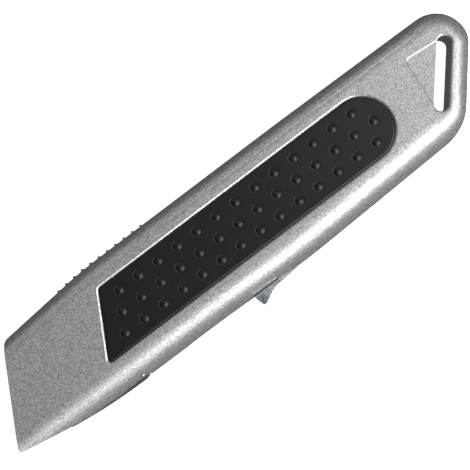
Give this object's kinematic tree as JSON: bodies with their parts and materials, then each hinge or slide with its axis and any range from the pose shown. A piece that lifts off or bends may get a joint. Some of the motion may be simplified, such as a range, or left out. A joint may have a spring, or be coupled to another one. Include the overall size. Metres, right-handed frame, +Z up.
{
  "type": "utility knife",
  "caption": "Slim utility knife with a rounded two-part metal housing, studded grip inserts, a spring-returned blade on a finger slider, a blade-change flap and a slanted lanyard slot.",
  "frame": {"origin": "under the middle of the knife, on the surface it lies on with its right side down", "axes": "+X along the knife from its nose to its rear end, +Y from the cutting edge's side to the spine, +Z up through the left side"},
  "size_m": [0.1508, 0.0346, 0.0155],
  "materials": {
    "silver_lacquer": "die-cast aluminium shell under a fine metallic silver lacquer, satin",
    "grip_rubber": "moulded, fine matt grain",
    "blade_steel": "ground and oiled, bright bevel",
    "carrier_zinc": "die-cast zinc, tumbled",
    "slider_zinc": "die-cast zinc, satin bright plating",
    "flap_zinc": "die-cast zinc, silver lacquer",
    "cover_steel": "stamped steel, zinc plated",
    "liner_steel": "stamped spring steel strip",
    "rivet_steel": "turned steel",
    "pin_steel": "ground steel",
    "screw_steel": "zinc-plated steel, hexagon socket",
    "spring_steel": "drawn spring wire",
    "magnet_nickel": "nickel-plated magnet",
    "buffer_rubber": "moulded buffer"
  },
  "bodies": {
    "housing": {"left_housing": "silver_lacquer", "right_housing": "silver_lacquer", "left_grip_insert": "grip_rubber", "right_grip_insert": "grip_rubber", "return_spring": "spring_steel", "front_stop_pin": "pin_steel", "spring_anchor_pin": "pin_steel", "rear_buffer": "buffer_rubber", "dowel_pins": "pin_steel", "housing_screws": "screw_steel", "left_guide_liner": "liner_steel", "right_guide_liner": "liner_steel", "flap_hinge_pin": "pin_steel", "flap_leaf_spring": "spring_steel"},
    "slider": {"blade": "blade_steel", "blade_carrier": "carrier_zinc", "blade_cover_plate": "cover_steel", "blade_magnet": "magnet_nickel", "cover_rivets": "rivet_steel", "slider_rivets": "rivet_steel", "spring_hook_pin": "pin_steel", "finger_slider": "slider_zinc"},
    "flap": {"blade_change_flap": "flap_zinc"}
  },
  "joints": [
    {"name": "blade_slide", "type": "slide", "parent": "housing", "child": "slider", "axis": [-1, 0, 0], "range_m": [0, 0.02], "stiffness_N_per_m": 60, "springref_m": -0.03, "deforming": ["return_spring"]},
    {"name": "flap_hinge", "type": "hinge", "parent": "housing", "child": "flap", "pos_m": [-0.04002, -0.01239, 0.00775], "axis": [0, 0, 1], "range_deg": [0, 70]}
  ]
}
